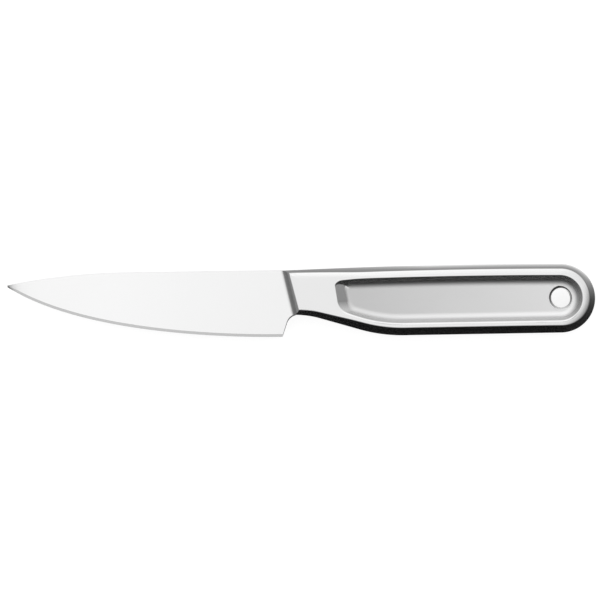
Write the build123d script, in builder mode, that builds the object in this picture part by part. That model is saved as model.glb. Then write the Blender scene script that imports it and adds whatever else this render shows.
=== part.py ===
from build123d import *
import os
from math import copysign, cos, degrees, radians, sin, sqrt, tan

# A stainless steel paring knife, lying on its side: a ground blade with a stub tang, welded into a hollow
# handle of two pressed shells, with a sleeve through the butt to hang it by.
# X runs from the tip to the butt, Y towards the spine and Z up through the thickness. The origin is on the
# surface that the knife lies on, under the middle of its length and height. Sizes are in millimetres and
# angles in degrees.

# Blade
blade_length = 98.3  # tip to heel corner
blade_height = 23.8  # heel corner to spine, at the handle
heel_thickness = 1.6  # across the spine at the handle
tip_thickness = 0.8  # across the spine at the tip
shoulder_thickness = 0.4  # just behind the sharpened bevel
edge_thickness = 0.06  # the cutting edge itself
bevel_width = 1.0  # sharpened strip along the edge
tip_height = 18.1  # tip above the heel corner
tip_blunt = 0.7  # height of the tip's blunt end
spine_straight = 55.3  # straight part of the spine, ahead of the heel
spine_fall = 0.8  # how far the straight part falls towards the tip
edge_tip_angle = 32.0  # slope of the edge as it leaves the tip
edge_tip_reach = 36.2  # how far the edge holds that slope
edge_heel_reach = 5.8  # how far the edge runs level ahead of the heel
choil_angle = 72.0  # slope of the notch up from the heel corner
choil_radius = 4.5
blade_stations = 14  # spaces between cross-sections, tip to heel

# Tang, hidden in the handle
tang_lap = 2.4  # full-height root of the blade between the shells
tang_length = 24.0  # narrow part behind the root
tang_thickness = 1.5
tang_drop = 3.0  # top of the handle to the top of the tang
tang_rise = 2.0  # bottom of the neck to the bottom of the tang

# Handle outline
handle_length = 111.7  # heel corner to butt end
handle_thickness = 12.0
butt_radius = 12.3
top_bow_radius = 2000.0
neck_height = 15.9  # top to bottom at the front
neck_setback = 9.05  # heel corner to where the neck and throat lines meet
throat_radius = 34.0
belly_setback = 17.6  # front of the recess to where the throat and belly lines meet
belly_slope = 1.0  # fall of the lower line from the butt to the belly
belly_radius = 56.0
front_setback = 2.25  # heel corner to the foot of the front face
front_lean = 14.2  # lean of the front face, seen from the side
front_slope = 68.5  # slope of the front face up from the blade

# Handle section
shell_wall = 1.0
crown_radius = 9.0  # round of the outer edge, about the mid-plane
crown_depth = 5.0  # outline to the inside of the swept edge
edge_round = 0.6  # where the crown turns onto the flat rim
ease_start = 26.5  # heel corner to where the rim starts to fall
ease_slope = 3.4  # fall of the rim towards the front
ease_radius = 120.0

# Recess in each side
recess_depth = 2.0
recess_setback = 15.6  # front of the handle to the recess
rim_width = 4.15  # outline to the recess, before the recess is shifted
recess_drop = 0.25  # how far the recess is shifted towards the lower line
recess_advance = 0.5  # how far it is shifted away from the butt
side_run = 2.3  # width of the recess's slanted sides
nose_run = 5.2  # width of its slanted front
nose_lean = 11.0  # lean of its front, seen from the side
nose_top_radius = 3.0
nose_bottom_radius = 7.0
floor_top_radius = 1.8
floor_bottom_radius = 4.5
floor_round = 3.2  # where the sides turn onto the floor

# Hang hole sleeve
hang_hole_radius = 3.5
sleeve_wall = 0.85
mouth_width = 0.65  # bevel at each mouth
mouth_depth = 0.45

# Welds
seam_width = 1.2
seam_depth = 0.7
bead_radius = 3.2  # hollow round between blade and handle

# Places that follow from the sizes
tip_x = -(blade_length + handle_length) / 2
heel_x = tip_x + blade_length
front_x = heel_x + front_setback
lap_x = front_x + tang_lap
butt_x = heel_x + handle_length - butt_radius
lead_x = front_x - 3 * bead_radius - crown_depth  # the handle's forms start here and are cut back
mid_z = handle_thickness / 2
bow_at_front = top_bow_radius - sqrt(top_bow_radius**2 - (butt_x - front_x) ** 2)
overall_height = max(2 * butt_radius, bow_at_front + blade_height)
butt_y = overall_height / 2 - butt_radius
spine_y = overall_height / 2 - bow_at_front
heel_y = spine_y - blade_height
neck_y = spine_y - neck_height
front_y = spine_y - neck_height / 2
tip_y = heel_y + tip_height
reach = 2 * handle_thickness  # how far a cut is carried past what it cuts

mid_plane = Plane.XY.offset(mid_z)
front_plane = Plane(
    origin=(front_x, front_y, mid_z),
    x_dir=(cos(radians(front_lean)), sin(radians(front_lean)), 0),
    z_dir=(sin(radians(front_lean)), -cos(radians(front_lean)), 0),
)


def bow_y(x):
    # Height of the handle's top line: a wide circle that is level above the butt.
    return butt_y + butt_radius - top_bow_radius + sqrt(top_bow_radius**2 - (butt_x - x) ** 2)


def front_line(height, back):
    # How far back the sloping front face lies at a height above the mid-plane.
    return back + height / tan(radians(front_slope))


def blade_half(y):
    # Half the blade's thickness at a height between heel and spine, at the handle.
    share = (y - heel_y - bevel_width) / (blade_height - bevel_width)
    return (shoulder_thickness + (heel_thickness - shoulder_thickness) * share) / 2


# Handle outline, from the front of the top round the butt to the front of the bottom
with BuildLine() as outline:
    butt_arc = CenterArc((butt_x, butt_y), butt_radius, 90, belly_slope - 180)
    TangentArc(butt_arc @ 0, (lead_x, bow_y(lead_x)), tangent=(-1, 0))
    belly_run = (butt_arc @ 1).X - front_x - recess_setback - belly_setback
    FilletPolyline(
        butt_arc @ 1,
        (butt_arc @ 1) - Vector(belly_run, belly_run * tan(radians(belly_slope))),
        (heel_x + neck_setback, neck_y),
        (lead_x, neck_y),
        radius=[belly_radius, throat_radius],
    )


def outline_face(height, inset):
    # The handle's outline as a flat face at a height, drawn in by inset.
    with BuildSketch(Plane.XY.offset(height)) as face:
        with BuildLine():
            add(outline.line)
            Line((lead_x, neck_y), (lead_x, bow_y(lead_x)))
        make_face()
        offset(amount=-inset)
    return face.sketch


def outline_run(line):
    # Carries a section, drawn as a closed line of heights above the mid-plane and depths inside the
    # outline, all along the outline: straight on its lines, and turned about the centres of its arcs.
    with BuildPart() as run:
        for edge in outline.wires()[0].order_edges():
            start = (edge @ 0) + Vector(0, 0, mid_z)
            turn = (edge % 0).cross(edge % 0.5).Z
            with BuildSketch(Plane(origin=start, x_dir=(0, 0, 1), z_dir=edge % 0)):
                add(line)
                make_face()
            if edge.geom_type == GeomType.LINE:
                extrude(amount=edge.length)
            else:
                revolve(
                    axis=Axis(edge.arc_center, (0, 0, copysign(1, turn))),
                    revolution_arc=degrees(edge.length / edge.radius),
                )
    return run.part


def crown_line(inset):
    # Half section of the handle's outer edge: a round about the mid-plane that is taken past the rim,
    # which is cut to height afterwards.
    radius = crown_radius - inset
    top = mid_z - inset + edge_round

    def depth(height):
        return crown_radius - sqrt(radius**2 - height**2)

    with BuildLine() as line:
        ThreePointArc((0, depth(0)), (top / 2, depth(top / 2)), (top, depth(top)))
        Polyline((top, depth(top)), (top, crown_depth), (0, crown_depth), (0, depth(0)))
    return line.line


def half_blank(inset):
    # The upper half of the handle as a solid, drawn in by inset, before its front and recess are cut.
    rim = handle_thickness - inset
    fall = (heel_x + ease_start - lead_x) * tan(radians(ease_slope))
    with BuildPart() as blank:
        add(outline_run(crown_line(inset)))
        extrude(outline_face(mid_z, crown_depth - edge_round), amount=rim - mid_z + edge_round)
        with BuildSketch(Plane.XZ):
            with BuildLine():
                FilletPolyline(
                    (lead_x, rim - fall),
                    (heel_x + ease_start, rim),
                    (butt_x + reach, rim),
                    radius=ease_radius,
                )
                Polyline(
                    (butt_x + reach, rim),
                    (butt_x + reach, mid_z),
                    (lead_x, mid_z),
                    (lead_x, rim - fall),
                )
            make_face()
        extrude(amount=overall_height, both=True, mode=Mode.INTERSECT)
    return blank.part


def recess_face(height, inset, setback, top_radius, bottom_radius):
    # The recess's outline at a height: the handle's outline drawn in and shifted, closed in front by a
    # leaning line with a round at each end.
    lean = overall_height * tan(radians(nose_lean))
    nose_x = front_x + setback
    with BuildSketch(Plane.XY.offset(height)) as face:
        add(outline_face(height, inset).moved(Location((-recess_advance, -recess_drop, 0))))
        with BuildLine():
            Polyline(
                (nose_x - lean, front_y + overall_height),
                (nose_x + lean, front_y - overall_height),
                (lead_x - reach, front_y - overall_height),
                (lead_x - reach, front_y + overall_height),
                close=True,
            )
        make_face(mode=Mode.SUBTRACT)
        nose_line = Axis((nose_x, front_y, height), (sin(radians(nose_lean)), -cos(radians(nose_lean)), 0))
        corners = face.edges().filter_by(nose_line).sort_by_distance(nose_line.position)[0].vertices()
        fillet(corners.sort_by(Axis.Y)[-1], radius=top_radius)
        fillet(face.vertices().sort_by_distance(corners.sort_by(Axis.Y)[0])[0], radius=bottom_radius)
    return face.sketch


def recess(sink):
    # The recess as a solid to cut away, sunk by the wall where it parts the inside from the outside.
    rim = handle_thickness - sink
    widen = sink * tan(radians(90 - front_slope))
    rim_face = recess_face(
        rim,
        rim_width - widen,
        recess_setback - widen,
        nose_top_radius,
        nose_bottom_radius,
    )
    floor_face = recess_face(
        rim - recess_depth,
        rim_width + side_run - widen,
        recess_setback + nose_run - widen,
        floor_top_radius,
        floor_bottom_radius,
    )
    with BuildPart() as hollow:
        loft([floor_face, rim_face], ruled=True)
        fillet(hollow.faces().sort_by(Axis.Z)[0].edges(), radius=floor_round)
        extrude(rim_face, amount=shell_wall)
    return hollow.part


def front_cut(part, back):
    # Cuts away what lies ahead of the front faces, which slope back on both sides of the mid-plane.
    with BuildPart() as cut:
        add(part)
        with BuildSketch(front_plane):
            with BuildLine():
                Polyline(
                    (front_line(reach, back), reach),
                    (front_line(0, back), 0),
                    (front_line(reach, back), -reach),
                    (-reach - reach, -reach),
                    (-reach - reach, reach),
                    close=True,
                )
            make_face()
        extrude(amount=overall_height, both=True, mode=Mode.SUBTRACT)
    return cut.part


# Blade: sections from tip to heel, each from the edge across to the spine, carried on between the shells
with BuildLine() as edge_line:
    edge_tip = Vector(tip_x, tip_y - tip_blunt / 2)
    edge_lead = Vector(cos(radians(edge_tip_angle)), -sin(radians(edge_tip_angle))) * edge_tip_reach
    Bezier(edge_tip, edge_tip + edge_lead, (heel_x - edge_heel_reach, heel_y), (heel_x, heel_y))

with BuildLine() as spine_line:
    spine_bend = (heel_x - spine_straight, spine_y - spine_fall)
    Line((heel_x, spine_y), spine_bend)
    TangentArc(
        spine_bend,
        (tip_x, tip_y + tip_blunt / 2),
        tangent=(-spine_straight, -spine_fall),
    )


def blade_face(foot, crest, thickness):
    # A section of the blade on the upright plane through a point of the edge and a point of the spine.
    across = crest - foot
    height = across.length
    bevel = min(bevel_width, height / 3)
    plane = Plane(origin=foot + Vector(0, 0, mid_z), x_dir=across, z_dir=across.cross(Vector(0, 0, 1)))
    with BuildSketch(plane) as face:
        with BuildLine():
            Polyline(
                (0, edge_thickness / 2),
                (bevel, shoulder_thickness / 2),
                (height, thickness / 2),
                (height, -thickness / 2),
                (bevel, -shoulder_thickness / 2),
                (0, -edge_thickness / 2),
                close=True,
            )
        make_face()
    return face.sketch


edge_wire = edge_line.wires()[0]
spine_wire = spine_line.wires()[0]
blade_faces = []
for station in range(blade_stations + 1):
    share = station / blade_stations
    blade_faces.append(
        blade_face(
            edge_wire @ share,
            spine_wire @ (1 - share),
            tip_thickness + (heel_thickness - tip_thickness) * share,
        )
    )
root_face = blade_face(Vector(lap_x, heel_y), Vector(lap_x, bow_y(lap_x)), heel_thickness)

with BuildPart() as blade:
    loft(blade_faces)
    loft([blade_faces[-1], root_face], ruled=True)
    with BuildSketch():
        choil_rise = neck_y - heel_y
        choil_foot = (
            heel_x - choil_radius / tan(radians(choil_angle)),
            heel_y - choil_radius,
        )
        with BuildLine():
            FilletPolyline(
                choil_foot,
                (heel_x + choil_rise / tan(radians(choil_angle)), neck_y),
                (lap_x + reach, neck_y),
                radius=choil_radius,
            )
            Polyline((lap_x + reach, neck_y), (lap_x + reach, heel_y - choil_radius), choil_foot)
        make_face()
    extrude(amount=handle_thickness, mode=Mode.SUBTRACT)
    with BuildSketch(mid_plane):
        tang_top = bow_y(lap_x) - tang_drop
        tang_foot = neck_y + tang_rise
        with BuildLine():
            Polyline(
                (lap_x, tang_top),
                (lap_x + tang_length, tang_top),
                (lap_x + tang_length, tang_foot),
                (lap_x, tang_foot),
                close=True,
            )
        make_face()
    extrude(amount=tang_thickness / 2, both=True)

# Hang hole sleeve, flush with the floors of both recesses
with BuildPart() as hang_hole_sleeve:
    with BuildSketch(Plane(origin=(butt_x, butt_y, mid_z))):
        Circle(hang_hole_radius + sleeve_wall)
        Circle(hang_hole_radius, mode=Mode.SUBTRACT)
    extrude(amount=mid_z - recess_depth, both=True)
    bore_edges = hang_hole_sleeve.edges().filter_by(GeomType.CIRCLE).group_by(SortBy.RADIUS)[0]
    for rim_edge in (bore_edges.sort_by(Axis.Z)[0], bore_edges.sort_by(Axis.Z)[-1]):
        flat_end = hang_hole_sleeve.faces().filter_by(Axis.Z).sort_by_distance(rim_edge.center())[0]
        chamfer(rim_edge, length=mouth_width, length2=mouth_depth, reference=flat_end)

# Weld along the seam between the shells, ground flush, from the blade's root round the butt and back
with BuildPart() as seam_weld:
    with BuildLine(mode=Mode.PRIVATE) as seam_line:
        lip = crown_radius - sqrt(crown_radius**2 - (seam_width / 2) ** 2)
        ThreePointArc((-seam_width / 2, lip), (0, 0), (seam_width / 2, lip))
        Polyline((seam_width / 2, lip), (0, seam_depth), (-seam_width / 2, lip))
    add(outline_run(seam_line.line))
    split(bisect_by=Plane(origin=(lap_x, 0, 0), z_dir=(1, 0, 0)), keep=Keep.TOP)


def bead_face(down):
    # Section of the weld in the corner between blade and front face, at a distance down the front.
    foot = blade_half(front_y - down * cos(radians(front_lean)))
    corner = Vector(front_line(foot, 0), foot)
    side = bead_radius * tan(radians(front_slope / 2))
    toe = corner - Vector(side, 0)
    top = corner + Vector(cos(radians(front_slope)), sin(radians(front_slope))) * side
    centre = toe + Vector(0, bead_radius)
    middle = centre + (corner - centre).normalized() * bead_radius
    with BuildSketch(front_plane.offset(down)) as face:
        with BuildLine():
            ThreePointArc(toe, middle, top)
            Polyline(top, (0, 0), (toe.X, 0), toe)
        make_face()
    return face.sketch


with BuildPart() as neck_weld_left:
    loft([bead_face(-neck_height), bead_face(neck_height)], ruled=True)
    add(half_blank(0), mode=Mode.INTERSECT)
    add(blade.part, mode=Mode.SUBTRACT)

with BuildPart() as neck_weld_right:
    mirror(neck_weld_left.part, about=mid_plane)

# Handle shells, pressed from sheet and joined on the mid-plane
with BuildPart() as inside:
    add(front_cut(half_blank(shell_wall), shell_wall / sin(radians(front_slope))))
    add(recess(shell_wall), mode=Mode.SUBTRACT)

with BuildPart() as rounded_blank:
    add(half_blank(0))
    rim_faces = rounded_blank.faces().filter_by(lambda face: face.normal_at().Z > 0.9)
    fillet(rim_faces.edges().filter_by(Axis.Y, reverse=True), radius=edge_round)

with BuildPart() as handle_shell_left:
    add(front_cut(rounded_blank.part, 0))
    add(recess(0), mode=Mode.SUBTRACT)
    add(inside.part, mode=Mode.SUBTRACT)
    with BuildSketch(Plane(origin=(butt_x, butt_y, mid_z))):
        Circle(hang_hole_radius + sleeve_wall)
    extrude(amount=handle_thickness, mode=Mode.SUBTRACT)
    add(blade.part, mode=Mode.SUBTRACT)
    add(seam_weld.part, mode=Mode.SUBTRACT)

with BuildPart() as handle_shell_right:
    mirror(handle_shell_left.part, about=mid_plane)

os.makedirs("parts", exist_ok=True)

blade.part.label = "blade"
export_step(blade.part, "parts/blade.step")

handle_shell_left.part.label = "handle_shell_left"
export_step(handle_shell_left.part, "parts/handle_shell_left.step")

handle_shell_right.part.label = "handle_shell_right"
export_step(handle_shell_right.part, "parts/handle_shell_right.step")

hang_hole_sleeve.part.label = "hang_hole_sleeve"
export_step(hang_hole_sleeve.part, "parts/hang_hole_sleeve.step")

seam_weld.part.label = "seam_weld"
export_step(seam_weld.part, "parts/seam_weld.step")

neck_weld_left.part.label = "neck_weld_left"
export_step(neck_weld_left.part, "parts/neck_weld_left.step")

neck_weld_right.part.label = "neck_weld_right"
export_step(neck_weld_right.part, "parts/neck_weld_right.step")
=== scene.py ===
import math
import bpy
import numpy as np
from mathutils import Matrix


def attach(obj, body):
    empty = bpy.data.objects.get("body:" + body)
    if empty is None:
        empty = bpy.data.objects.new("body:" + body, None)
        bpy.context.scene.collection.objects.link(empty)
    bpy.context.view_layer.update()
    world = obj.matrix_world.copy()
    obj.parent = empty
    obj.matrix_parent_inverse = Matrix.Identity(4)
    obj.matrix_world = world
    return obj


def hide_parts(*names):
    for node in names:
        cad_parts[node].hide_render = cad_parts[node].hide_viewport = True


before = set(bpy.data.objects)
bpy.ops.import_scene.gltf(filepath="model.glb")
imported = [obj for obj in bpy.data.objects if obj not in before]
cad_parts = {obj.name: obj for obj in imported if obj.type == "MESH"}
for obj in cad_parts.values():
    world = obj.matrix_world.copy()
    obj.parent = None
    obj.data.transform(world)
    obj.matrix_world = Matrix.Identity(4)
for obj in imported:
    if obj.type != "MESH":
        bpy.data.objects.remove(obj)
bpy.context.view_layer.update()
print("frame loaded:", len(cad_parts), "nodes")

# Sizes that several pieces share, in millimetres and degrees, as in the CAD source
tipX, heelX, frontX, lapX, buttX = -105.0, -6.7, -4.45, -2.05, 92.7
heelY, neckY, frontY, tipY, spineY, buttY = -13.0805, -5.1805, 2.7695, 5.0195, 10.7195, 0.7805
midZ = 6.0  # the knife's middle plane above the surface it lies on
buttRadius, bowRadius, throatRadius, bellyRadius = 12.3, 2000.0, 34.0, 56.0
crownRadius, edgeRound, shellWall = 9.0, 0.6, 1.0
lean = math.radians(14.2)  # lean of the handle's front
slope = math.radians(68.5)  # and its slope off the blade
bellySlope = math.radians(1.0)  # fall of the lower line
noseLean = math.radians(11.0)  # lean of the recess's front
neckSetback, bellyFromFront, easeX, easeSlope, easeRadius = 9.05, 33.2, 19.8, math.radians(3.4), 120.0
recessDepth, rimWidth, sideRun, noseSetback, noseRun = 2.0, 4.15, 2.3, 15.6, 5.2
recessShift = np.array([-0.5, -0.25])  # the recess lies off the middle of its rim
sleeveRadius, boreRadius = 4.35, 3.5
heelThickness, shoulderHalf, edgeHalf, bevelWidth = 1.6, 0.2, 0.03, 1.0  # blade at the spine, bevel and edge
seamHalf = 0.6  # half the width of the weld between the shells


# Corners and round centres of the handle's lower outline
def roundPlaces():
    foot = np.array([buttX, buttY]) + buttRadius * np.array([math.sin(bellySlope), -math.cos(bellySlope)])
    run = foot[0] - frontX - bellyFromFront
    belly = foot - run * np.array([1, math.tan(bellySlope)])
    throat = np.array([heelX + neckSetback, neckY])
    rise = math.atan2(throat[1] - belly[1], belly[0] - throat[0])
    cut = bellyRadius * math.tan((rise + bellySlope) / 2)
    bellyIn = belly + cut * np.array([math.cos(bellySlope), math.sin(bellySlope)])
    bellyOut = belly + cut * np.array([-math.cos(rise), math.sin(rise)])
    bellyCentre = bellyIn + bellyRadius * np.array([-math.sin(bellySlope), math.cos(bellySlope)])
    reach = throatRadius * math.tan(rise / 2)
    throatIn = throat + reach * np.array([math.cos(rise), -math.sin(rise)])
    throatOut = throat - np.array([reach, 0])
    return foot, belly, rise, bellyIn, bellyOut, bellyCentre, throatIn, throatOut


footPoint, bellyCorner, bellyRise, bellyIn, bellyOut, bellyCentre, throatIn, throatOut = roundPlaces()


# Height of the handle's top line at x: a circle of the bow radius less the inset, level above the butt
def topLine(x, inset):
    return buttY + buttRadius - bowRadius + np.sqrt((bowRadius - inset) ** 2 - (buttX - x) ** 2)


# Height of the handle's lower line at x: neck line, hollow throat arc, slanting line, belly arc and long
# line, each moved square to itself by the inset
def lowerLine(x, inset):
    x, inset = np.broadcast_arrays(np.asarray(x, float), np.asarray(inset, float))
    longLine = footPoint[1] - (footPoint[0] - x) * math.tan(bellySlope) + inset / math.cos(bellySlope)
    bellyArc = bellyCentre[1] - np.sqrt(np.maximum((bellyRadius - inset) ** 2 - (x - bellyCentre[0]) ** 2, 0))
    slant = bellyCorner[1] + (bellyCorner[0] - x) * math.tan(bellyRise) + inset / math.cos(bellyRise)
    hollow = np.sqrt(np.maximum((throatRadius + inset) ** 2 - (x - throatOut[0]) ** 2, 0))
    return np.select(
        [
            x > bellyIn[0] - inset * math.sin(bellySlope),
            x > bellyOut[0] + inset * math.sin(bellyRise),
            x > throatIn[0] + inset * math.sin(bellyRise),
            x > throatOut[0],
        ],
        [longLine, bellyArc, slant, neckY - throatRadius + hollow],
        neckY + inset,
    )


# Half height of the flat rim at x: full behind the ease, then a wide arc and a slight fall to the front
def rimHeight(x):
    start = easeX + easeRadius * math.tan(easeSlope / 2)
    end = start - easeRadius * math.sin(easeSlope)
    arc = midZ - easeRadius + np.sqrt(np.maximum(easeRadius**2 - (x - start) ** 2, 0))
    fall = midZ - (easeX - x) * math.tan(easeSlope)
    return np.select([x > start, x > end], [np.full_like(x, midZ), arc], fall)


# Stations round the handle, the same in every ring: top run, butt arc, bottom run, lower corner, front and
# upper corner
counts = {"top": 230, "butt": 110, "bottom": 240, "corner": 24, "front": 40}
topShare = np.linspace(0, 1, counts["top"], endpoint=False)
buttShare = np.linspace(0, 1, counts["butt"], endpoint=False)
bottomShare = np.linspace(0, 1, counts["bottom"])
cornerShare = np.linspace(0, 1, counts["corner"] + 2)[1:-1]
frontShare = np.linspace(0, 1, counts["front"])
runCount = counts["top"] + counts["butt"] + counts["bottom"]
ringCount = runCount + 2 * counts["corner"] + counts["front"]
# 0 on the sides, 1 on the front and between them round the corners
frontWeight = np.concatenate([np.zeros(runCount), cornerShare, np.ones(counts["front"]), cornerShare[::-1]])
# 1 on the top run, less and then more round the butt, fading out at the start of the bottom run
curlWeight = np.interp(buttShare, [0, 0.25, 0.35, 0.5, 0.65, 0.85, 1], [1, 0.6, 0.4, 1.2, 1.5, 1.0, 0.4])
curlWeight = np.concatenate([np.ones(counts["top"]), curlWeight, np.clip(0.4 - 3 * bottomShare, 0, 1)])
curlWeight = np.concatenate([curlWeight, np.zeros(counts["corner"] + counts["front"]), cornerShare])
# 0 on the top run and the front, 1 on the bottom run
lowWeight = np.concatenate([np.zeros(counts["top"]), buttShare, np.ones(counts["bottom"]), 1 - cornerShare])
lowWeight = np.concatenate([lowWeight, np.zeros(counts["front"] + counts["corner"])])


# Open run from the front of the top, round the butt, to the front of the bottom, all drawn in by the inset
def openRun(startX, endX, inset):
    inset = np.broadcast_to(inset, (runCount,))
    a, b = counts["top"], counts["top"] + counts["butt"]
    top = startX + (buttX - startX) * topShare
    angle = math.pi / 2 - buttShare * (math.pi - bellySlope)
    radius = buttRadius - inset[a:b]
    footX = footPoint[0] - inset[b] * math.sin(bellySlope)
    bottom = footX + (endX - footX) * bottomShare
    buttRun = np.stack([buttX + radius * np.cos(angle), buttY + radius * np.sin(angle)], 1)
    topRun = np.stack([top, topLine(top, inset[:a])], 1)
    bottomRun = np.stack([bottom, lowerLine(bottom, inset[b:])], 1)
    return np.concatenate([topRun, buttRun, bottomRun])


# A round between two lines that meet at a corner: a weighted quadratic curve, which is an exact arc
def cornerRound(start, corner, end, turn, share):
    weight = math.cos(turn / 2)
    a, b, c = (1 - share) ** 2, 2 * weight * share * (1 - share), share**2
    return (a[:, None] * start + b[:, None] * corner + c[:, None] * end) / (a + b + c)[:, None]


# Closed ring: the open run, closed by a leaning line that lies back by shift, with a round at each end, all
# moved by the offset
def ring(inset, shift, topRound, bottomRound, tilt=lean, offset=np.zeros(2)):
    inset = np.broadcast_to(np.asarray(inset, float), (ringCount,))
    shift = np.broadcast_to(np.asarray(shift, float), (ringCount,))
    last = runCount - 1
    topX, lowX = 0.0, frontX + shift[last] - offset[0]
    for step in range(12):
        topRise = float(topLine(topX, inset[0])) - frontY + offset[1]
        topX = frontX + shift[-1] - offset[0] - topRise * math.tan(tilt)
    # one step for the lower corner: the lower line is nearly as high below the front's middle
    lowX -= (float(lowerLine(lowX, inset[last])) - frontY + offset[1]) * math.tan(tilt)
    topCorner = np.array([topX, float(topLine(topX, inset[0]))])
    lowCorner = np.array([lowX, float(lowerLine(lowX, inset[last]))])
    topTilt = math.atan((buttX - topX) / bowRadius)
    lowTilt = math.atan2(float(lowerLine(lowX, inset[last]) - lowerLine(lowX + 1, inset[last])), 1)
    topTurn, lowTurn = math.pi / 2 + tilt - topTilt, math.pi / 2 - tilt - lowTilt
    topCut, lowCut = topRound * math.tan(topTurn / 2), bottomRound * math.tan(lowTurn / 2)
    along = np.array([math.sin(tilt), -math.cos(tilt)])
    run = openRun(topX + topCut * math.cos(topTilt), lowX + lowCut * math.cos(lowTilt), inset[:runCount])
    low = cornerRound(run[-1], lowCorner, lowCorner - along * lowCut, lowTurn, cornerShare)
    frontLow, frontTop = lowCorner - along * lowCut, topCorner + along * topCut
    front = frontLow + (frontTop - frontLow) * frontShare[:, None]
    top = cornerRound(frontTop, topCorner, run[0], topTurn, cornerShare)
    return np.concatenate([run, low, front, top]) + offset


# Quads between neighbouring rows and columns of a grid of points
def gridFaces(rows, columns, closedRows, closedColumns):
    r = np.arange(rows if closedRows else rows - 1)[:, None]
    c = np.arange(columns if closedColumns else columns - 1)[None, :]
    nextR, nextC = (r + 1) % rows, (c + 1) % columns
    quads = [r * columns + c, r * columns + nextC, nextR * columns + nextC, nextR * columns + c]
    return np.stack(quads, -1).reshape(-1, 4)


# Faces that close the two ends of a strip
def endCaps(rows, columns):
    first = np.arange(rows) * columns
    return [first.tolist(), (first[::-1] + columns - 1).tolist()]


# A mesh object from points in millimetres; faces turned outward by the sign of the volume they enclose
def makePiece(name, points, quads, caps=(), attributes=None, sharpAngle=38):
    corners = points[quads]
    cross = np.cross(corners[:, 1] - corners[:, 0], corners[:, 2] - corners[:, 0])
    cross += np.cross(corners[:, 2] - corners[:, 0], corners[:, 3] - corners[:, 0])
    outward = float((corners.mean(1) * cross).sum()) > 0
    faces = quads.tolist() + list(caps)
    if not outward:
        faces = [face[::-1] for face in faces]
    mesh = bpy.data.meshes.new(name)
    mesh.from_pydata((points * 0.001).tolist(), [], faces)
    for label, values in (attributes or {}).items():
        layer = mesh.attributes.new(label, "FLOAT", "POINT")
        layer.data.foreach_set("value", np.ascontiguousarray(values, dtype=np.float32).ravel())
    mesh.polygons.foreach_set("use_smooth", np.ones(len(mesh.polygons), bool))
    mesh.set_sharp_from_angle(angle=math.radians(sharpAngle))
    mesh.update()
    piece = bpy.data.objects.new(name, mesh)
    bpy.context.scene.collection.objects.link(piece)
    return piece


# Ties a finished piece to the CAD node it stands for
def finishPiece(piece, node, material):
    piece.data.materials.append(material)
    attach(piece, "root")
    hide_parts(node)
    print("piece made:", piece.name, len(piece.data.polygons), "faces")


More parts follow.
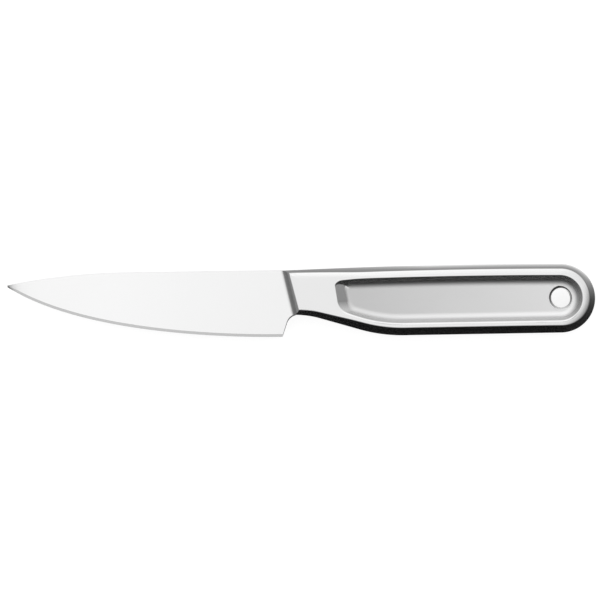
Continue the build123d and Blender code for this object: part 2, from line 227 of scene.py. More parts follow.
# Steel: a metal with fine streaks in its surface, rougher where the attribute "blasted" says so, and with
# painted
# shading: a colour scaled steadily along X where its attribute says so, painted shade and painted light
def steel(name, values):
    material = bpy.data.materials.new(name)
    material.use_nodes = True
    nodes, links = material.node_tree.nodes, material.node_tree.links
    shader = nodes["Principled BSDF"]
    shader.inputs["Metallic"].default_value = 1.0
    place = nodes.new("ShaderNodeTexCoord")
    stretch = nodes.new("ShaderNodeMapping")
    stretch.inputs["Scale"].default_value = values["streakScale"]
    links.new(place.outputs["Object"], stretch.inputs["Vector"])
    streak = nodes.new("ShaderNodeTexNoise")
    streak.inputs["Scale"].default_value = 1.0
    streak.inputs["Detail"].default_value = 4.0
    links.new(stretch.outputs["Vector"], streak.inputs["Vector"])
    cloud = nodes.new("ShaderNodeTexNoise")
    cloud.inputs["Scale"].default_value = values["cloudScale"]
    cloud.inputs["Detail"].default_value = 3.0
    links.new(place.outputs["Object"], cloud.inputs["Vector"])
    blasted = nodes.new("ShaderNodeAttribute")
    blasted.attribute_name = "blasted"
    rough = nodes.new("ShaderNodeMapRange")
    rough.inputs["To Min"].default_value = values["roughness"]
    rough.inputs["To Max"].default_value = values["blastedRoughness"]
    links.new(blasted.outputs["Fac"], rough.inputs["Value"])
    vary = nodes.new("ShaderNodeMath")
    vary.operation = "MULTIPLY_ADD"
    vary.inputs[1].default_value = values["roughVary"]
    links.new(streak.outputs["Fac"], vary.inputs[0])
    links.new(rough.outputs["Result"], vary.inputs[2])
    links.new(vary.outputs["Value"], shader.inputs["Roughness"])
    tint = nodes.new("ShaderNodeMix")
    tint.data_type = "RGBA"
    tint.inputs["A"].default_value = (*[values["colour"] - values["colourVary"]] * 3, 1)
    tint.inputs["B"].default_value = (*[values["colour"] + values["colourVary"]] * 3, 1)
    links.new(cloud.outputs["Fac"], tint.inputs["Factor"])
    # painted shading: the colour is scaled steadily along X from one share to another, standing in for shade
    # and reflected light
    axes = nodes.new("ShaderNodeSeparateXYZ")
    links.new(place.outputs["Object"], axes.inputs["Vector"])
    paintedShadingAlongX = nodes.new("ShaderNodeMapRange")
    paintedShadingAlongX.inputs["From Min"].default_value = values["paintedShadingFrom"][0] * 0.001
    paintedShadingAlongX.inputs["To Min"].default_value = values["paintedShadingFrom"][1]
    paintedShadingAlongX.inputs["From Max"].default_value = values["paintedShadingTo"][0] * 0.001
    paintedShadingAlongX.inputs["To Max"].default_value = values["paintedShadingTo"][1]
    links.new(axes.outputs["X"], paintedShadingAlongX.inputs["Value"])
    paintedShadingShare = nodes.new("ShaderNodeAttribute")
    paintedShadingShare.attribute_name = "paintedShadingShare"
    share = nodes.new("ShaderNodeMix")
    share.inputs["A"].default_value = 1.0
    links.new(paintedShadingShare.outputs["Fac"], share.inputs["Factor"])
    links.new(paintedShadingAlongX.outputs["Result"], share.inputs["B"])
    # the colour times the painted shading, where its attribute says so
    dull = nodes.new("ShaderNodeVectorMath")
    dull.operation = "SCALE"
    links.new(tint.outputs["Result"], dull.inputs[0])
    links.new(share.outputs["Result"], dull.inputs["Scale"])
    links.new(dull.outputs["Vector"], shader.inputs["Base Color"])
    bump = nodes.new("ShaderNodeBump")
    bump.inputs["Strength"].default_value = values["streakStrength"]
    bump.inputs["Distance"].default_value = 0.0001
    links.new(streak.outputs["Fac"], bump.inputs["Height"])
    links.new(bump.outputs["Normal"], shader.inputs["Normal"])
    return material


# Handle shells
shellValues = {
    "frontRound": 0.08,  # round where the front face turns onto the rim
    "curlWidth": 2.2,  # the rim's upper side turns down a little over this width before its outer edge
    "curlRadius": 12.0,
    "cornerRound": 0.35,  # round of the front's upper and lower corners
    "innerRound": 0.2,  # round of the crown onto the rim inside the shell
    "innerFrontRound": 0.1,  # and of the front face onto it
    "footGuess": 0.7,  # first guess of the front face's foot above the mid-plane, bettered step by step
    "lipRound": 0.12,  # reach of the small round along the recess's edge
    "lowLipRound": 0.4,  # and along the lower side of that edge
    "wallBlasted": 0.25,  # how far the recess's sides are blasted
    "floorRound": 3.8,  # round between the recess's sides and its floor
    "noseTopRound": 4.1,
    "noseBottomRound": 6.0,
    "floorTopRound": 1.8,
    "floorBottomRound": 4.5,
}
handleFinish = {
    "colour": 0.82,
    "colourVary": 0.01,
    # painted shading on the recess's floor: its colour is darker at the front and lighter toward the butt,
    # painted shade and painted light
    "paintedShadingFrom": (20, 0.93),  # x and share of the colour on the recess's floor, at its front
    "paintedShadingTo": (90, 1.21),  # and at the butt
    "roughness": 0.16,
    "blastedRoughness": 0.46,
    "roughVary": 0.04,
    "streakScale": (60, 2500, 2500),
    "streakStrength": 0.006,
    "cloudScale": 60.0,
}


# Half the blade's thickness at height y over the heel corner: bevel up to the shoulder, then the flat grind
def bladeHalf(y):
    rise = y - heelY
    onBevel = edgeHalf + (shoulderHalf - edgeHalf) * rise / bevelWidth
    grind = (rise - bevelWidth) / (spineY - heelY - bevelWidth)
    return np.where(rise < bevelWidth, onBevel, shoulderHalf + (heelThickness / 2 - shoulderHalf) * grind)


# Crown ring: on the sides a round about the mid-plane that turns by a small round onto the rim, which curls
# down a little on the upper side, and on the front a sloping flat that turns onto the rim by its own round;
# share runs 0 to 1 up the crown and 1 to 2 over the rounds; drop is the depth under the outer face
def crownRing(share, drop):
    v = shellValues
    radius, small, frontSmall, tilt = crownRadius - drop, v["innerRound"], v["innerFrontRound"], 0.0
    seamAngle = 0.0
    if drop == 0:
        small, frontSmall, tilt = edgeRound, v["frontRound"], curlWeight * v["curlWidth"] / v["curlRadius"]
        seamAngle = math.asin(seamHalf / radius)
    rim = np.full(ringCount, midZ)
    points = None
    for step in range(6):
        top = rim - drop - tilt * v["curlWidth"] / 2
        centreH = top - small
        centreD = crownRadius - np.sqrt((radius - small) ** 2 - centreH**2)
        turnFrom = np.arcsin(centreH / (radius - small))
        up = min(share, 1.0)
        over = max(share - 1.0, 0.0)
        angle = seamAngle + (turnFrom - seamAngle) * up
        turn = turnFrom + (math.pi / 2 - tilt - turnFrom) * over
        sideH = radius * np.sin(angle) if over == 0 else centreH + small * np.sin(turn)
        inset = crownRadius - radius * np.cos(angle) if over == 0 else centreD - small * np.cos(turn)
        cut = frontSmall * math.tan(slope / 2)
        edgeH = top - cut * math.sin(slope)
        footH = bladeHalf(points[:, 1]) if points is not None else v["footGuess"]
        frontH = footH + (edgeH - footH) * up
        back = frontH / math.tan(slope)
        if over > 0:
            lie = math.pi / 2 + slope * (1 - over)
            frontH = top - frontSmall + frontSmall * math.sin(lie)
            back = top / math.tan(slope) + cut + frontSmall * math.cos(lie)
        shift = (back + drop / math.sin(slope)) / math.cos(lean)
        points = ring(inset, shift, v["cornerRound"], v["cornerRound"])
        rim = rimHeight(points[:, 0])
    height = sideH * (1 - frontWeight) + frontH * frontWeight
    return np.column_stack([points, height])


# Rows of the recess from its lip to the sleeve: the rim's outline and the floor's are joined by slanted
# sides, the lip lies where they meet the rim, and a round turns them onto the floor. On the long sides the
# depth grows evenly; over the front and its upper corner it is the lesser of the front's slant and the
# side's steeper one; sink is the depth under the outer face
def recessRows(sink, lipSteps, wallSteps, roundSteps, floorShares):
    v = shellValues
    widen = sink / math.tan(slope)
    inset, shift = rimWidth - widen, noseSetback - widen
    across, corner = noseRun * math.cos(noseLean), v["noseTopRound"]
    outer = ring(inset, shift, corner, v["noseBottomRound"], noseLean, recessShift)
    topRound, bottomRound = v["floorTopRound"], v["floorBottomRound"]
    inner = ring(inset + sideRun, shift + noseRun, topRound, bottomRound, noseLean, recessShift)
    wide = sideRun + (across - sideRun) * frontWeight
    byFront = np.arange(ringCount) >= runCount + counts["corner"]
    turn = np.arctan2(recessDepth, wide)
    wallLength = np.hypot(wide, recessDepth)
    floorReach = v["floorRound"] * np.tan(turn / 2)
    floorInset = inset + sideRun + floorReach[0]
    floorShift = shift + noseRun + floorReach[-counts["corner"] - 1] / math.cos(noseLean)
    floorEdge = ring(floorInset, floorShift, topRound - 1, bottomRound - 1, noseLean, recessShift)

    # points and depth of the slanted side at a share of its width
    def sideAt(share):
        flat = outer + (inner - outer) * share[:, None]
        fromTop = topLine(flat[:, 0] - recessShift[0], inset) + recessShift[1] - flat[:, 1]
        fromNose = flat[:, 0] - frontX - shift - (frontY - flat[:, 1]) * math.tan(noseLean)
        fromNose *= math.cos(noseLean)
        rounded = corner - np.hypot(corner - fromTop, corner - fromNose)
        steep = np.where(np.maximum(fromTop, fromNose) < corner, rounded, np.minimum(fromTop, fromNose))
        depth = np.minimum(steep * recessDepth / sideRun, fromNose * recessDepth / across)
        return flat, np.where(byFront, np.clip(depth, 0, recessDepth), recessDepth * share)

    lipShare, tooFar = np.zeros(ringCount), np.ones(ringCount)
    for step in range(24):
        trial = (lipShare + tooFar) / 2
        flat, depth = sideAt(trial)
        below = depth > midZ - rimHeight(flat[:, 0])
        lipShare, tooFar = np.where(below, lipShare, trial), np.where(below, trial, tooFar)
    lip = sideAt(lipShare)[0]

    def level(flat, height):
        return np.column_stack([flat, np.broadcast_to(height, (ringCount,))])

    def onWall(share):
        flat, depth = sideAt(share)
        return level(flat, midZ - sink - depth)

    lipRound = v["lipRound"] + (v["lowLipRound"] - v["lipRound"]) * lowWeight
    rimPoint = lip + (outer - inner) * (lipRound / wide)[:, None]
    onRim = level(rimPoint, rimHeight(rimPoint[:, 0]) - sink)
    edge = level(lip, rimHeight(lip[:, 0]) - sink)
    weight = np.cos(turn / 2)[:, None]
    wallTop, wallEnd = lipShare + lipRound / wallLength, 1 - floorReach / wallLength
    below = onWall(wallTop)
    rows = []
    for t in lipSteps:
        a, b, c = (1 - t) ** 2, 2 * weight * t * (1 - t), t**2
        rows.append((a * onRim + b * edge + c * below) / (a + b + c))
    for t in wallSteps:
        rows.append(onWall(wallTop + (wallEnd - wallTop) * t))
    start, end = onWall(wallEnd), level(floorEdge, midZ - sink - recessDepth)
    foot = level(inner, midZ - sink - recessDepth)
    for t in roundSteps:
        a, b, c = (1 - t) ** 2, 2 * weight * t * (1 - t), t**2
        rows.append((a * start + b * foot + c * end) / (a + b + c))
    hub = np.array([buttX, buttY])
    away = end[:, :2] - hub
    circle = hub + sleeveRadius * away / np.linalg.norm(away, axis=1)[:, None]
    for t in floorShares:
        rows.append(level(end[:, :2] + (circle - end[:, :2]) * t, midZ - sink - recessDepth))
    return rows


# How deep points lie inside the handle's outline: below its top line, above its lower line or within its butt
def depthInside(flat):
    x, y = flat[:, 0], flat[:, 1]
    inButt = buttRadius - np.hypot(x - buttX, y - buttY)
    return np.where(x > buttX, inButt, np.minimum(topLine(x, 0) - y, y - lowerLine(x, 0)))


# Shell: the crown, the rim, the recess, and then the same under the sheet's thickness, as closed rows
def buildShells():
    v = shellValues
    crown = [crownRing(share, 0) for share in np.linspace(0, 1, 16)]
    crown += [crownRing(1 + share, 0) for share in np.linspace(0, 1, 9)[1:]]
    lipSteps, wallSteps, roundSteps = (np.linspace(0, 1, count) for count in (6, 17, 13))
    wallSteps, floorShares = wallSteps[1:-1], [0.01, 0.1, 0.4, 0.8, 1]
    recess = recessRows(0, lipSteps, wallSteps, roundSteps, floorShares)
    outerEdge, innerEdge = crown[-1], recess[0]
    rim = []
    edgeDepth = depthInside(outerEdge[:, :2])
    for share in (0.05, 0.12, 0.2, 0.28, 0.36, 0.44, 0.52, 0.6, 0.66, 0.8, 0.93, 0.985):
        flat = outerEdge[:, :2] + (innerEdge[:, :2] - outerEdge[:, :2]) * share
        inside = depthInside(flat) - edgeDepth
        sag = curlWeight * np.maximum(v["curlWidth"] - inside, 0) ** 2 / (2 * v["curlRadius"])
        rim.append(np.column_stack([flat, rimHeight(flat[:, 0]) - sag]))
    under = recessRows(shellWall, [1], [0.5], [0, 0.5, 1], [0.5, 1])[::-1]
    within = [crownRing(share, shellWall) for share in (2.0, 1.5, 1.0, 0.6, 0.3, 0.0)]
    rows = crown + rim + recess + under + within
    bright = len(crown) + len(rim) + len(lipSteps)
    dull = [1.0] * (len(floorShares) + len(under) + len(within))
    blasted = [0.0] * bright + [v["wallBlasted"]] * len(wallSteps)
    blasted += np.linspace(v["wallBlasted"], 1, len(roundSteps)).tolist() + dull
    # painted shading: the recess's floor round and floor take the colour fade along X
    paintedShadingShare = [0.0] * (bright + len(wallSteps)) + roundSteps.tolist() + dull
    grid = np.concatenate(rows)
    quads = gridFaces(len(rows), ringCount, True, True)
    marks = {"blasted": np.repeat(blasted, ringCount), "paintedShadingShare": np.repeat(paintedShadingShare, ringCount)}
    for node, side in (("handle_shell_left", 1), ("handle_shell_right", -1)):
        points = grid * [1, 1, side] + [0, 0, midZ]
        piece = makePiece(node + "_pressed", points, quads, attributes=marks)
        finishPiece(piece, node, handleSteel)


handleSteel = steel("handleSatin", handleFinish)
buildShells()

# Blade
bladeValues = {
    "tipBlunt": 0.35,  # half the height of the blunt tip
    "tipAngle": 32.0,
    "tipReach": 36.2,  # how far the edge holds its slope behind the tip
    "heelReach": 5.8,  # and runs level before the heel
    "spineStraight": 55.3,  # straight part of the spine before the heel
    "spineFall": 0.8,  # and its fall
    "tipThickness": 0.8,
    "spineRound": 0.12,
    "choilAngle": 72.0,
    "choilRound": 4.5,
    "choilEase": 0.7,  # width over which the notch's corners are eased
    "easeRise": 1.2,  # height over the heel corner at which they are fully eased
    "tangLength": 24.0,
    "tangThickness": 1.5,
    "tangDrop": 3.0,  # top of the handle to the top of the tang
    "tangRise": 2.0,  # foot of the neck to the foot of the tang
    "stations": 420,
}
bladeFinish = {
    "colour": 0.935,
    "colourVary": 0.008,
    # painted shade: the blade's colour darkens toward the handle, from full at x -70 to 0.95 at x -7
    "paintedShadingFrom": (-70, 1.0),
    "paintedShadingTo": (-7, 0.95),
    "roughness": 0.12,
    "blastedRoughness": 0.2,
    "roughVary": 0.04,
    "streakScale": (2500, 60, 60),
    "streakStrength": 0.02,
    "cloudScale": 40.0,
}


# Points at equal shares of a path's length
def evenly(path, shares):
    length = np.concatenate([[0], np.cumsum(np.linalg.norm(np.diff(path, axis=0), axis=1))])
    return np.column_stack([np.interp(shares * length[-1], length, path[:, k]) for k in (0, 1)])


# Edge: a cubic curve from the tip to the heel. Spine: a line from the heel, then an arc that leaves it
# smoothly and ends at the tip
def bladeLines(shares):
    v = bladeValues
    t = np.linspace(0, 1, 4000)[:, None]
    angle = math.radians(v["tipAngle"])
    a = np.array([tipX, tipY - v["tipBlunt"]])
    b = a + v["tipReach"] * np.array([math.cos(angle), -math.sin(angle)])
    c, d = np.array([heelX - v["heelReach"], heelY]), np.array([heelX, heelY])
    edge = a * (1 - t) ** 3 + 3 * b * t * (1 - t) ** 2 + 3 * c * t**2 * (1 - t) + d * t**3
    bend = np.array([heelX - v["spineStraight"], spineY - v["spineFall"]])
    tip = np.array([tipX, tipY + v["tipBlunt"]])
    normal = np.array([v["spineFall"], -v["spineStraight"]]) / math.hypot(v["spineStraight"], v["spineFall"])
    chord = tip - bend
    radius = float(chord @ chord / (2 * chord @ normal))
    centre = bend + radius * normal
    start = math.atan2(*(bend - centre)[::-1])
    end = math.atan2(*(tip - centre)[::-1])
    turn = start + (end - start) * np.linspace(0, 1, 2000)
    arc = centre + radius * np.column_stack([np.cos(turn), np.sin(turn)])
    line = np.array([heelX, spineY]) + (bend - [heelX, spineY]) * np.linspace(0, 1, 50)[:-1, None]
    spine = np.concatenate([line, arc])[::-1]
    return evenly(edge, shares), evenly(spine, shares)


# Foot of the blade behind the heel: the notch's slanted line, its round and the neck line
def choilLine(x):
    angle = math.radians(bladeValues["choilAngle"])
    radius = bladeValues["choilRound"]
    cut = radius * math.tan(angle / 2)
    cornerX = heelX + (neckY - heelY) / math.tan(angle)
    slant = heelY + (x - heelX) * math.tan(angle)
    centreX = cornerX + cut
    arc = neckY - radius + np.sqrt(np.maximum(radius**2 - (x - centreX) ** 2, 0))
    return np.where(x < cornerX - cut * math.cos(angle), slant, np.where(x < centreX, arc, neckY))


# Blade: cross-sections from the edge line up to the spine line, one for each station along them; the two
# powers only crowd the stations round the heel corner
def buildBlade():
    v = bladeValues
    shares = 1 - (1 - np.linspace(0, 1, v["stations"])) ** 1.15
    foot, crest = bladeLines(shares)
    behind = heelX + (lapX - heelX) * np.linspace(0, 1, 50)[1:] ** 1.4
    crestEnd = float(topLine(lapX, 0))
    crestLine = spineY + (crestEnd - spineY) * (behind - heelX) / (lapX - heelX)
    foot = np.concatenate([foot, np.column_stack([behind, choilLine(behind)])])
    crest = np.concatenate([crest, np.column_stack([behind, crestLine])])
    share = np.concatenate([shares, np.ones(len(behind))])
    thick = v["tipThickness"] + (heelThickness - v["tipThickness"]) * share
    across = crest - foot
    height = np.linalg.norm(across, axis=1)
    behindFoot = foot[len(shares):, 1]
    lift = np.concatenate([np.zeros(len(shares)), behindFoot - heelY])  # foot above the heel corner
    full = height + lift
    bevel = np.minimum(bevelWidth, full / 3)
    bevelEnd = np.maximum(bevel - lift, v["choilEase"])

    # half thickness at a distance over the edge line: the bevel, then the flat grind up to the spine
    def half(distance):
        rise = distance + lift
        onBevel = edgeHalf + (shoulderHalf - edgeHalf) * rise / bevel
        onFace = shoulderHalf + (thick / 2 - shoulderHalf) * (rise - bevel) / (full - bevel)
        return np.where(rise < bevel, onBevel, onFace)

    small = np.minimum(v["spineRound"], height / 8)
    # behind the heel the cut's corners are eased: the half thickness falls off in a quarter oval to the foot
    easeShare = np.clip(lift / v["easeRise"], 0, 1)
    ease = np.maximum(easeShare * v["choilEase"], 0.001)
    rows = []
    bevelSteps = (0, 0.03, 0.12, 0.25, 0.5, 0.75, 0.96, 1.0)
    for t in bevelSteps:
        away = np.clip(1 - bevelEnd * t / ease, 0, 1)
        rows.append((bevelEnd * t, half(bevelEnd * t) * (1 - easeShare * (1 - np.sqrt(1 - away**2 * 0.98)))))
    faceTop = height - small
    for t in np.concatenate([[0.003, 0.03], np.linspace(0.1, 0.9, 9), [0.97, 0.997, 1.0]]):
        distance = bevelEnd + (faceTop - bevelEnd) * t
        rows.append((distance, half(distance)))
    endHalf = half(faceTop)
    for angle in np.radians([22.5, 45, 67.5, 90]):
        rows.append((faceTop + small * math.sin(angle), endHalf - small * (1 - math.cos(angle))))
    rows.append((height, (endHalf - small) * 0.5))
    sides = rows + [(distance, -depth) for distance, depth in rows[::-1]]
    points = []
    for distance, depth in sides:
        flat = foot + across * (distance / height)[:, None]
        points.append(np.column_stack([flat, midZ + depth]))
    grid = np.concatenate(points)
    quads = gridFaces(len(sides), len(foot), True, False)
    # the tang is a closed box behind the root
    tangX, tangY = (lapX, lapX + v["tangLength"]), (crestEnd - v["tangDrop"], neckY + v["tangRise"])
    tangZ = (midZ - v["tangThickness"] / 2, midZ + v["tangThickness"] / 2)
    tang = np.array([[x, y, z] for x in tangX for y in tangY for z in tangZ])
    box = np.array([[0, 1, 3, 2], [4, 6, 7, 5], [0, 4, 5, 1], [2, 3, 7, 6], [0, 2, 6, 4], [1, 5, 7, 3]])
    points = np.concatenate([grid, tang])
    quads = np.concatenate([quads, box[:, ::-1] + len(grid)])
    fromEdge = np.arange(len(sides))
    onBevel = np.minimum(fromEdge, fromEdge[::-1]) < len(bevelSteps)
    mark = np.concatenate([np.repeat(onBevel, len(foot)), np.zeros(len(tang))])
    # the whole blade takes the painted shade along X, darker toward the handle
    attributes = {"blasted": mark, "paintedShadingShare": np.ones(len(points))}
    caps = endCaps(len(sides), len(foot))
    piece = makePiece("blade_ground", points, quads, caps, attributes, sharpAngle=5)
    finishPiece(piece, "blade", bladeSteel)


bladeSteel = steel("bladeSatin", bladeFinish)
buildBlade()

# Hang hole sleeve
sleeveValues = {"mouthWidth": 0.76, "mouthDepth": 0.5, "edgeRound": 0.06, "segments": 160}
sleeveFinish = dict(handleFinish, streakScale=(300, 300, 300), roughness=0.14)


# Sleeve: a closed outline of radius, height and dullness turned about the hole's axis
def buildSleeve():
    v = sleeveValues
    top = midZ - recessDepth
    wide, deep, small = v["mouthWidth"], v["mouthDepth"], v["edgeRound"]
    upper = [
        (sleeveRadius, top, 1),
        (boreRadius + wide + small, top, 1),
        (boreRadius + wide + small * 0.3, top - small * 0.1, 0.5),
        (boreRadius + wide - small * 0.6, top - small * 0.55, 0),
        (boreRadius + small, top - deep + small * 0.9, 0),
        (boreRadius + small * 0.3, top - deep + small * 0.1, 0),
        (boreRadius, top - deep - small, 0),
        (boreRadius, top - deep - small * 5, 0),
    ]
    outline = np.array(upper + [(r, -h, m) for r, h, m in upper[::-1]])
    turn = np.linspace(0, 2 * math.pi, v["segments"], endpoint=False)
    x = buttX + outline[:, :1] * np.cos(turn)
    y = buttY + outline[:, :1] * np.sin(turn)
    z = midZ + np.repeat(outline[:, 1:2], len(turn), 1)
    points = np.stack([x, y, z], -1).reshape(-1, 3)
    quads = gridFaces(len(outline), len(turn), True, True)
    mark = np.repeat(outline[:, 2], len(turn))
    piece = makePiece("hang_hole_sleeve_turned", points, quads, attributes={"blasted": mark}, sharpAngle=25)
    finishPiece(piece, "hang_hole_sleeve", sleeveSteel)


sleeveSteel = steel("sleeveTurned", sleeveFinish)
buildSleeve()

# Welds, ground flush and polished
weldValues = {
    "seamDepth": 0.7,
    "beadRadius": 2.05,  # of the neck weld's hollow
    "beadClimb": 1.2,  # how far the neck weld climbs the handle's front
    "beadWeight": 0.9,  # pull of the corner on the hollow
    "beadSteps": 90,  # points along the neck weld
}
weldFinish = dict(handleFinish, colour=0.87)


# Seam: a strip of the crown's round about the mid-plane with a wedge behind it, carried round the outline
def buildSeam():
    rows = []
    for h in np.linspace(-seamHalf, seamHalf, 7):
        inset = crownRadius - math.sqrt(crownRadius**2 - h**2)
        rows.append(np.column_stack([openRun(lapX, lapX, inset), np.full(runCount, midZ + h)]))
    rows.append(np.column_stack([openRun(lapX, lapX, weldValues["seamDepth"]), np.full(runCount, midZ)]))
    points, quads = np.concatenate(rows), gridFaces(len(rows), runCount, True, False)
    caps = endCaps(len(rows), runCount)
    piece = makePiece("seam_weld_strip", points, quads, caps, {"blasted": np.zeros(len(points))})
    finishPiece(piece, "seam_weld", weldSteel)


# Neck weld: a hollow curve from the blade's face to the handle's sloping front, flatter at its toe, carried
# down the front; its ends lie on the handle's crown
def buildNeckWelds():
    v = weldValues
    reach, climb = v["beadRadius"] * math.tan(slope / 2), v["beadClimb"]
    steps = np.linspace(0, 1, v["beadSteps"])
    rows = []
    for t in np.linspace(0, 1, 19):
        y = frontY + (spineY - frontY) * (1 - 2 * steps)
        a, b, c = (1 - t) ** 2, 2 * v["beadWeight"] * t * (1 - t), t**2
        for loop in range(8):
            foot = bladeHalf(y)
            cornerU = foot / math.tan(slope)
            u = cornerU + (c * climb * math.cos(slope) - a * reach) / (a + b + c)
            h = foot + c * climb * math.sin(slope) / (a + b + c)
            inset = crownRadius - np.sqrt(crownRadius**2 - h**2)
            x = frontX + u / math.cos(lean) + (frontY - y) * math.tan(lean)
            upper, lower = topLine(x[0], inset[0]), neckY + inset[-1]
            y = upper + (lower - upper) * steps
        rows.append(np.column_stack([x, y, h]))
    # the last row closes the weld under its hollow, most of the way from the toe to the top
    rows.append(rows[0] + (rows[-1] - rows[0]) * [0.8, 0, 0])
    grid = np.concatenate(rows)
    quads, caps = gridFaces(len(rows), len(steps), True, False), endCaps(len(rows), len(steps))
    for node, side in (("neck_weld_left", 1), ("neck_weld_right", -1)):
        points = grid * [1, 1, side] + [0, 0, midZ]
        piece = makePiece(node + "_bead", points, quads, caps, {"blasted": np.zeros(len(points))})
        finishPiece(piece, node, weldSteel)


weldSteel = steel("weldPolished", weldFinish)
buildSeam()
buildNeckWelds()

# Stage: a pale floor, a soft lamp beyond the spine, and a tent and a floor card that show in reflections
# only: painted reflections, sheets that light nothing and cast no shadow
stageValues = {
    "floorSize": 9.0,
    "floorColour": 0.27,
    "floorGlow": 0.84,
    "skyForDiffuse": 0.9,
    "lampPower": 3.0,
    "lampSize": (1.2, 0.7),
    "lampDistance": 1.4,
    "lampTilt": 40.0,
    "tentRadius": 1.5,
    "tentRows": 91,
    "tentColumns": 144,
    "cardHeight": 0.0002,
    "cardReach": 1495.0,
    "cardMiddle": 60.0,  # x of the card's finest part
    "cardCrowding": 4.5,  # how closely its points crowd there
    "cardSteps": 201,
    # painted reflections: glow of the tent by angle from the zenith, toward the spine, the cutting edge, the
    # tip and the butt
    "angles": [0, 7, 13, 21, 30, 40, 50, 62, 78, 90],
    "toSpine": [1.0, 1.03, 1.1, 1.18, 1.24, 1.24, 1.14, 0.9, 0.57, 0.31],
    "toEdge": [1.0, 0.97, 0.76, 0.44, 0.25, 0.12, 0.06, 0.03, 0.01, 0.005],
    "toTip": [1.0, 1.0, 0.97, 0.92, 0.74, 0.42, 0.28, 0.24, 0.22, 0.2],
    "toButt": [1.0, 0.98, 0.88, 0.64, 0.38, 0.24, 0.16, 0.1, 0.08, 0.08],
    # painted reflections: glow of the floor card by distance from the handle, beyond the spine; the front
    # lies deeper in it
    "reaches": [0, 4, 8, 14, 24, 42, 100, 1500],
    "beyondSpine": [1.0, 0.9, 0.6, 0.46, 0.33, 0.28, 0.28, 0.4],
    "frontDeeper": 22.0,
    "frontFrom": 45.0,  # x at which that starts
    "turnFrom": 20.0,  # angle round the butt at which the dark side starts to turn into the other
    "turnOver": 40.0,
    # and round the butt by angle from the handle's axis
    "turns": [-90, -30, -15, 0, 15, 25, 45, 90],
    "roundButt": [0.005, 0.02, 0.035, 0.07, 0.18, 0.28, 0.4, 0.4],
}


# An emission that takes its strength from the attribute "glow"
def glowMaterial(name):
    material = bpy.data.materials.new(name)
    material.use_nodes = True
    nodes, links = material.node_tree.nodes, material.node_tree.links
    nodes.remove(nodes["Principled BSDF"])
    shine = nodes.new("ShaderNodeEmission")
    level = nodes.new("ShaderNodeAttribute")
    level.attribute_name = "glow"
    links.new(level.outputs["Fac"], shine.inputs["Strength"])
    links.new(shine.outputs["Emission"], nodes["Material Output"].inputs["Surface"])
    return material


# Floor: one pale square that takes the shadow
def buildFloor():
    v = stageValues
    half = v["floorSize"] / 2
    mesh = bpy.data.meshes.new("floor")
    corners = [(-half, -half, 0), (half, -half, 0), (half, half, 0), (-half, half, 0)]
    mesh.from_pydata(corners, [], [(0, 1, 2, 3)])
    floor = bpy.data.objects.new("floor", mesh)
    bpy.context.scene.collection.objects.link(floor)
    material = bpy.data.materials.new("floorPaper")
    material.use_nodes = True
    shader = material.node_tree.nodes["Principled BSDF"]
    shader.inputs["Base Color"].default_value = (*[v["floorColour"]] * 3, 1)
    shader.inputs["Roughness"].default_value = 0.9
    shader.inputs["Specular IOR Level"].default_value = 0.0
    shader.inputs["Emission Color"].default_value = (1, 1, 1, 1)
    shader.inputs["Emission Strength"].default_value = v["floorGlow"]
    floor.data.materials.append(material)


# A stage sheet that only reflections see, with its own glow at each point: a painted reflection that lights
# nothing
def paintedReflectionSheet(name, points, quads, glow):
    mesh = bpy.data.meshes.new(name)
    mesh.from_pydata(points.tolist(), [], quads.tolist())
    layer = mesh.attributes.new("glow", "FLOAT", "POINT")
    layer.data.foreach_set("value", glow.astype(np.float32))
    sheet = bpy.data.objects.new(name, mesh)
    bpy.context.scene.collection.objects.link(sheet)
    sheet.data.materials.append(glowMaterial(name))
    sheet.visible_camera = False
    sheet.visible_diffuse = False
    sheet.visible_transmission = False
    sheet.visible_shadow = False


# Tent: a half sphere of painted reflections; its glow is read from four curves over the angle from the
# zenith, mixed by how far a point lies toward the spine, the edge, the tip or the butt
def buildPaintedReflectionTent():
    v = stageValues
    rows, columns = v["tentRows"], v["tentColumns"]
    polar = np.radians(np.linspace(0.3, 90.3, rows))[:, None]  # from just off the zenith to just below level
    turn = np.linspace(0, 2 * math.pi, columns, endpoint=False)[None, :]
    x, y = np.sin(polar) * np.cos(turn), np.sin(polar) * np.sin(turn)
    z = np.repeat(np.cos(polar), columns, 1)
    angle = np.degrees(np.repeat(polar, columns, 1))
    toSpine, toEdge, toTip, toButt = (
        np.interp(angle, v["angles"], v[side]) for side in ("toSpine", "toEdge", "toTip", "toButt")
    )
    share = np.where(np.sin(turn) > 0, np.sin(turn) ** 2, -np.sin(turn))
    glow = np.where(np.sin(turn) > 0, toSpine, toEdge) * share
    glow += np.where(np.cos(turn) > 0, toButt, toTip) * (1 - share)
    points = np.stack([x, y, z], -1).reshape(-1, 3) * v["tentRadius"]
    paintedReflectionSheet("tent", points, gridFaces(rows, columns, False, True), glow.ravel())


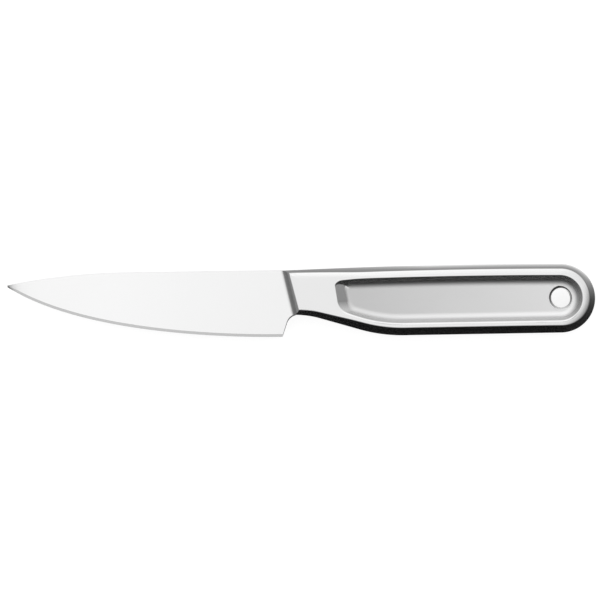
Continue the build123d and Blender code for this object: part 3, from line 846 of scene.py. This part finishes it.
# Floor card of painted reflections: dark, painted shade on the side of the cutting edge, and beyond the spine
# a painted glow that falls with the distance from the handle; round the butt one turns into the other
def buildPaintedReflectionCard():
    v = stageValues
    step = np.linspace(-1, 1, v["cardSteps"])
    place = v["cardReach"] * np.sinh(v["cardCrowding"] * step) / math.sinh(v["cardCrowding"])
    x, y = np.meshgrid(place + v["cardMiddle"] * (1 - step**2), place, indexing="ij")
    beyond = np.maximum(x - buttX, 0.001)
    distance = np.maximum(np.hypot(np.where(x > buttX, beyond, 0), y - buttY) - buttRadius, 0)
    turn = np.degrees(np.arctan2(y - buttY, beyond))
    upper = np.clip((turn - v["turnFrom"]) / v["turnOver"], 0, 1)
    upper = upper * upper * (3 - 2 * upper)
    distance = distance + v["frontDeeper"] * np.clip(1 - x / v["frontFrom"], 0, 1)
    glow = np.interp(distance, v["reaches"], v["beyondSpine"]) * upper
    glow += np.interp(turn, v["turns"], v["roundButt"]) * (1 - upper)
    points = np.stack([x * 0.001, y * 0.001, np.full_like(x, v["cardHeight"])], -1).reshape(-1, 3)
    quads = gridFaces(v["cardSteps"], v["cardSteps"], False, False)
    paintedReflectionSheet("paintedReflectionCard", points, quads, glow.ravel())


# A soft lamp and a white world, a little less bright for what it lights than for what sees it
def buildLights():
    v = stageValues
    data = bpy.data.lights.new("softLamp", "AREA")
    data.shape = "RECTANGLE"
    data.size, data.size_y = v["lampSize"]
    data.energy = v["lampPower"]
    lamp = bpy.data.objects.new("softLamp", data)
    bpy.context.scene.collection.objects.link(lamp)
    away = math.radians(v["lampTilt"])
    lamp.location = (0, v["lampDistance"] * math.sin(away), v["lampDistance"] * math.cos(away))
    lamp.rotation_euler = (-away, 0, 0)
    lamp.visible_camera = False
    lamp.visible_glossy = False
    world = bpy.data.worlds.new("studio")
    world.use_nodes = True
    bpy.context.scene.world = world
    nodes, links = world.node_tree.nodes, world.node_tree.links
    path = nodes.new("ShaderNodeLightPath")
    first = nodes.new("ShaderNodeMath")
    first.operation = "MAXIMUM"
    second = nodes.new("ShaderNodeMath")
    second.operation = "MAXIMUM"
    links.new(path.outputs["Is Camera Ray"], first.inputs[0])
    links.new(path.outputs["Is Glossy Ray"], first.inputs[1])
    links.new(first.outputs["Value"], second.inputs[0])
    links.new(path.outputs["Is Transmission Ray"], second.inputs[1])
    strength = nodes.new("ShaderNodeMapRange")
    strength.inputs["To Min"].default_value = v["skyForDiffuse"]
    strength.inputs["To Max"].default_value = 1.0
    links.new(second.outputs["Value"], strength.inputs["Value"])
    nodes["Background"].inputs["Color"].default_value = (1, 1, 1, 1)
    links.new(strength.outputs["Result"], nodes["Background"].inputs["Strength"])


buildFloor()
buildPaintedReflectionTent()
buildPaintedReflectionCard()
buildLights()
print("stage made")

# Camera: a long lens above the knife, a little toward the cutting edge
cameraValues = {
    "lens": 500.0,
    "sensor": 36.0,
    "pixels": 600,
    "scale": 0.35739,  # millimetres for each pixel
    "tilt": 3.4,
    "lookX": -0.465,
    "lookY": 0.13,
}


def buildCamera():
    v = cameraValues
    data = bpy.data.cameras.new("camera")
    data.lens = v["lens"]
    data.sensor_width = v["sensor"]
    distance = v["pixels"] * 0.001 * v["scale"] * v["lens"] / v["sensor"]
    tilt = math.radians(v["tilt"])
    camera = bpy.data.objects.new("camera", data)
    bpy.context.scene.collection.objects.link(camera)
    camera.location = (
        v["lookX"] * 0.001,
        v["lookY"] * 0.001 - distance * math.sin(tilt),
        midZ * 0.001 + distance * math.cos(tilt),
    )
    camera.rotation_euler = (tilt, 0, 0)
    data.clip_start, data.clip_end = 0.05, 30.0
    bpy.context.scene.camera = camera


buildCamera()
bpy.context.scene.view_settings.view_transform = "Standard"
